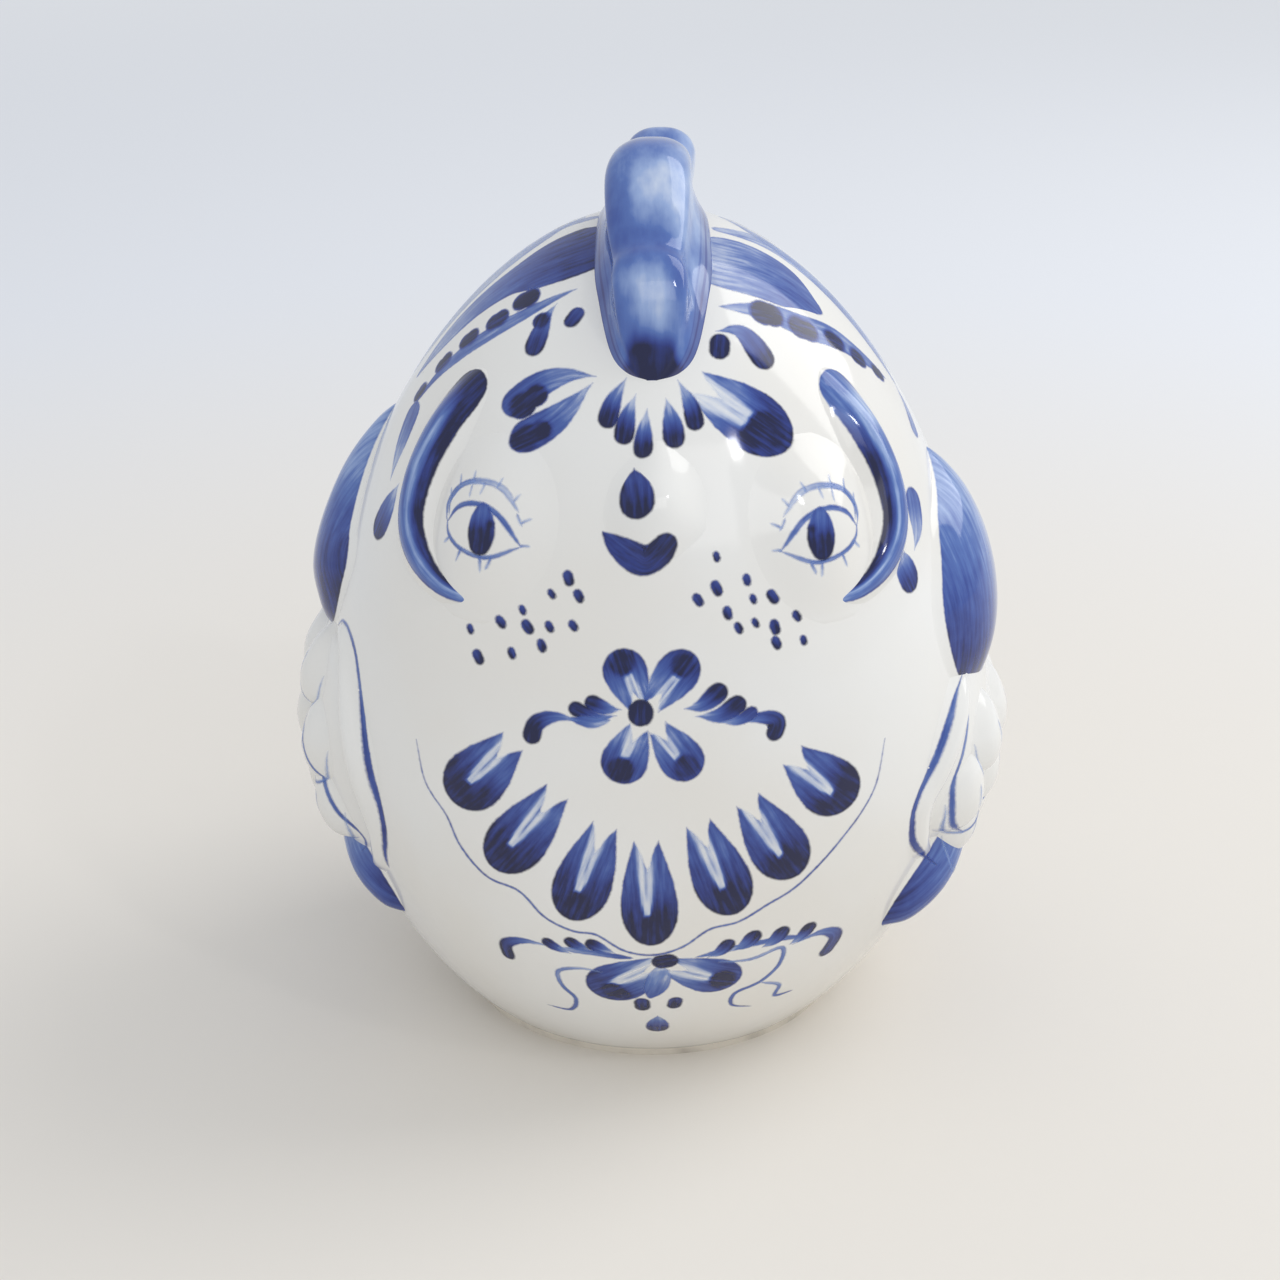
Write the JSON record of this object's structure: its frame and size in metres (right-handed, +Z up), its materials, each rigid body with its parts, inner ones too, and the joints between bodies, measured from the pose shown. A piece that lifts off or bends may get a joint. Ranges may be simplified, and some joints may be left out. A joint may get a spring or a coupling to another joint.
{
  "type": "porcelain hen figurine",
  "caption": "Egg-shaped glazed porcelain hen with a lobed comb, relief eyes and wings, and blue underglaze folk painting; stands on a flat unglazed foot.",
  "frame": {"origin": "centre of the foot ring's resting face", "axes": "+Z up, the hen faces -Y, its left side is +X"},
  "size_m": [0.0998, 0.1031, 0.1255],
  "materials": {
    "white_glazed_porcelain": "clear gloss glaze over white porcelain with blue underglaze painting",
    "blue_glazed_porcelain": "clear gloss glaze over washes of cobalt blue",
    "biscuit_foot": "unglazed fired porcelain, ground flat"
  },
  "bodies": {
    "root": {"body_shell": "white_glazed_porcelain", "foot_ring": "biscuit_foot", "comb": "blue_glazed_porcelain", "beak": "white_glazed_porcelain", "tail": "white_glazed_porcelain", "left_eye_mound": "white_glazed_porcelain", "left_brow_ridge": "blue_glazed_porcelain", "left_wing_shoulder": "blue_glazed_porcelain", "left_wing_rim": "white_glazed_porcelain", "left_wing_panel": "white_glazed_porcelain", "left_wing_feathers": "white_glazed_porcelain", "left_wing_tips": "blue_glazed_porcelain", "right_eye_mound": "white_glazed_porcelain", "right_brow_ridge": "blue_glazed_porcelain", "right_wing_shoulder": "blue_glazed_porcelain", "right_wing_rim": "white_glazed_porcelain", "right_wing_panel": "white_glazed_porcelain", "right_wing_feathers": "white_glazed_porcelain", "right_wing_tips": "blue_glazed_porcelain"}
  },
  "joints": []
}
